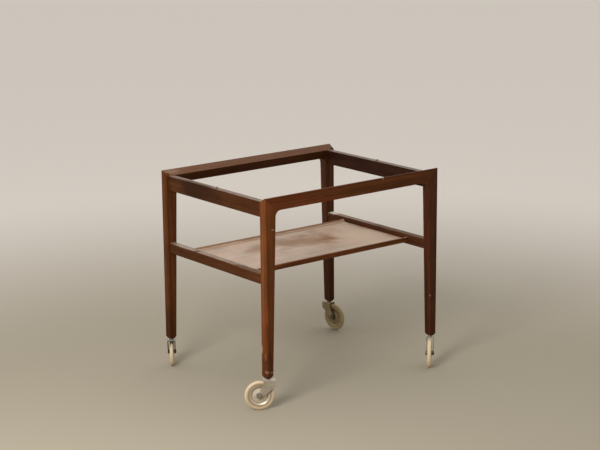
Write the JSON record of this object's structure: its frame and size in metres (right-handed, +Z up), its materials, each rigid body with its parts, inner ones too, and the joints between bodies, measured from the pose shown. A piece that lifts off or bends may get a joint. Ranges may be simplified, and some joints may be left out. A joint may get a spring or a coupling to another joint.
{
  "type": "tray table on casters",
  "caption": "Low hardwood tray table on swivel casters: open mitred top frame that takes a loose tray, with a lipped lower shelf between stretchers.",
  "frame": {"origin": "on the floor, midway between the four legs", "axes": "+X along the long rails, +Y towards the back long rail, +Z up"},
  "size_m": [0.6436, 0.5354, 0.56],
  "materials": {
    "frame_wood": "satin oiled",
    "lip_wood": "satin oiled",
    "shelf_wood": "worn gloss",
    "dowel_wood": "plain",
    "plated_steel": "aged nickel plate",
    "plain_steel": "plain",
    "bush_metal": "dull",
    "pin_metal": "dull",
    "tyre_rubber": "aged cream"
  },
  "bodies": {
    "frame": {"long_rail_front": "frame_wood", "shelf_lip_front": "lip_wood", "leg_front_left": "frame_wood", "leg_front_right": "frame_wood", "long_rail_back": "frame_wood", "shelf_lip_back": "lip_wood", "leg_back_left": "frame_wood", "leg_back_right": "frame_wood", "end_rail_left": "frame_wood", "stretcher_left": "frame_wood", "tray_pin_left": "pin_metal", "end_rail_right": "frame_wood", "stretcher_right": "frame_wood", "tray_pin_right": "pin_metal", "shelf_panel": "shelf_wood", "corner_splines": "dowel_wood", "end_rail_dowels": "dowel_wood", "stretcher_dowels": "dowel_wood", "lip_dowels": "dowel_wood", "front_left_socket": "plain_steel", "front_right_socket": "plain_steel", "back_left_socket": "plain_steel", "back_right_socket": "plain_steel"},
    "caster_front_left": {"front_left_fork": "plated_steel", "front_left_stem": "plain_steel", "front_left_washer": "plain_steel", "front_left_grip_ring": "plain_steel", "front_left_axle": "plated_steel"},
    "wheel_front_left": {"front_left_hub_bush": "bush_metal", "front_left_outer_disc": "plated_steel", "front_left_inner_disc": "plated_steel", "front_left_tyre": "tyre_rubber"},
    "caster_front_right": {"front_right_fork": "plated_steel", "front_right_stem": "plain_steel", "front_right_washer": "plain_steel", "front_right_grip_ring": "plain_steel", "front_right_axle": "plated_steel"},
    "wheel_front_right": {"front_right_hub_bush": "bush_metal", "front_right_outer_disc": "plated_steel", "front_right_inner_disc": "plated_steel", "front_right_tyre": "tyre_rubber"},
    "caster_back_left": {"back_left_fork": "plated_steel", "back_left_stem": "plain_steel", "back_left_washer": "plain_steel", "back_left_grip_ring": "plain_steel", "back_left_axle": "plated_steel"},
    "wheel_back_left": {"back_left_hub_bush": "bush_metal", "back_left_outer_disc": "plated_steel", "back_left_inner_disc": "plated_steel", "back_left_tyre": "tyre_rubber"},
    "caster_back_right": {"back_right_fork": "plated_steel", "back_right_stem": "plain_steel", "back_right_washer": "plain_steel", "back_right_grip_ring": "plain_steel", "back_right_axle": "plated_steel"},
    "wheel_back_right": {"back_right_hub_bush": "bush_metal", "back_right_outer_disc": "plated_steel", "back_right_inner_disc": "plated_steel", "back_right_tyre": "tyre_rubber"}
  },
  "joints": [
    {"name": "front_left_swivel", "type": "hinge", "parent": "frame", "child": "caster_front_left", "pos_m": [-0.285, -0.22025, 0.0821], "axis": [0, 0, 1], "continuous": true},
    {"name": "front_left_roll", "type": "hinge", "parent": "caster_front_left", "child": "wheel_front_left", "pos_m": [-0.30323, -0.20886, 0.039], "axis": [-0.5299, -0.848, 0], "continuous": true},
    {"name": "front_right_swivel", "type": "hinge", "parent": "frame", "child": "caster_front_right", "pos_m": [0.285, -0.22025, 0.0821], "axis": [0, 0, 1], "continuous": true},
    {"name": "front_right_roll", "type": "hinge", "parent": "caster_front_right", "child": "wheel_front_right", "pos_m": [0.2698, -0.23545, 0.039], "axis": [0.7071, -0.7071, 0], "continuous": true},
    {"name": "back_left_swivel", "type": "hinge", "parent": "frame", "child": "caster_back_left", "pos_m": [-0.285, 0.22025, 0.0821], "axis": [0, 0, 1], "continuous": true},
    {"name": "back_left_roll", "type": "hinge", "parent": "caster_back_left", "child": "wheel_back_left", "pos_m": [-0.27236, 0.23764, 0.039], "axis": [-0.809, 0.5878, 0], "continuous": true},
    {"name": "back_right_swivel", "type": "hinge", "parent": "frame", "child": "caster_back_right", "pos_m": [0.285, 0.22025, 0.0821], "axis": [0, 0, 1], "continuous": true},
    {"name": "back_right_roll", "type": "hinge", "parent": "caster_back_right", "child": "wheel_back_right", "pos_m": [0.28725, 0.19887, 0.039], "axis": [0.9945, 0.1045, 0], "continuous": true}
  ]
}
